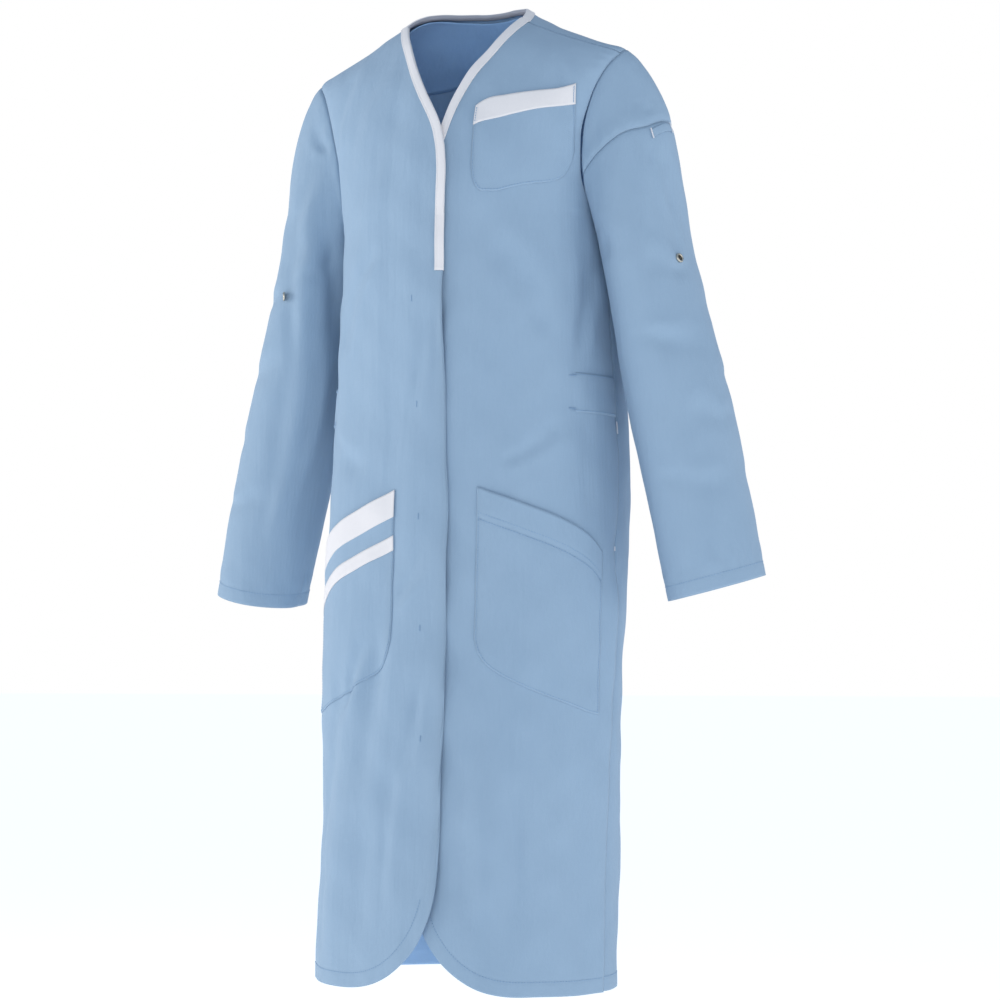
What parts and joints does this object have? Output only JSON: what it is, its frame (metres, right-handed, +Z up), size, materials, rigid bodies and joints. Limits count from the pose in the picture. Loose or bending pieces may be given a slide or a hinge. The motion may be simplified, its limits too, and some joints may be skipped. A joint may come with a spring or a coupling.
{
  "type": "medical tunic",
  "caption": "Knee-length long-sleeved medical tunic, front closed, bound V neck, patch pockets, hollow as if worn",
  "frame": {"origin": "midway between the two neck points, where the wearer's shoulders carry the garment", "axes": "+Z up, the front faces -Y, +X towards the wearer's left"},
  "size_m": [0.6754, 0.2791, 1.0859],
  "materials": {
    "blue_twill": "matte sky-blue poly-cotton twill",
    "white_trim": "matte white poly-cotton twill",
    "snap_metal": "dull nickel-plated brass"
  },
  "bodies": {
    "root": {"front_right": "blue_twill", "front_left": "blue_twill", "back": "blue_twill", "sleeve_right": "blue_twill", "sleeve_left_lower": "blue_twill", "sleeve_left_upper": "blue_twill", "back_neck_facing": "blue_twill", "chest_pocket": "blue_twill", "hip_pocket_left": "blue_twill", "hip_pocket_right": "blue_twill", "waist_tab_left": "blue_twill", "waist_tab_right": "blue_twill", "pen_pocket_welt": "blue_twill", "neck_binding": "white_trim", "chest_pocket_band": "white_trim", "hip_band_wide": "white_trim", "hip_band_narrow": "white_trim", "snap_left": "snap_metal", "snap_right": "snap_metal"}
  },
  "joints": []
}
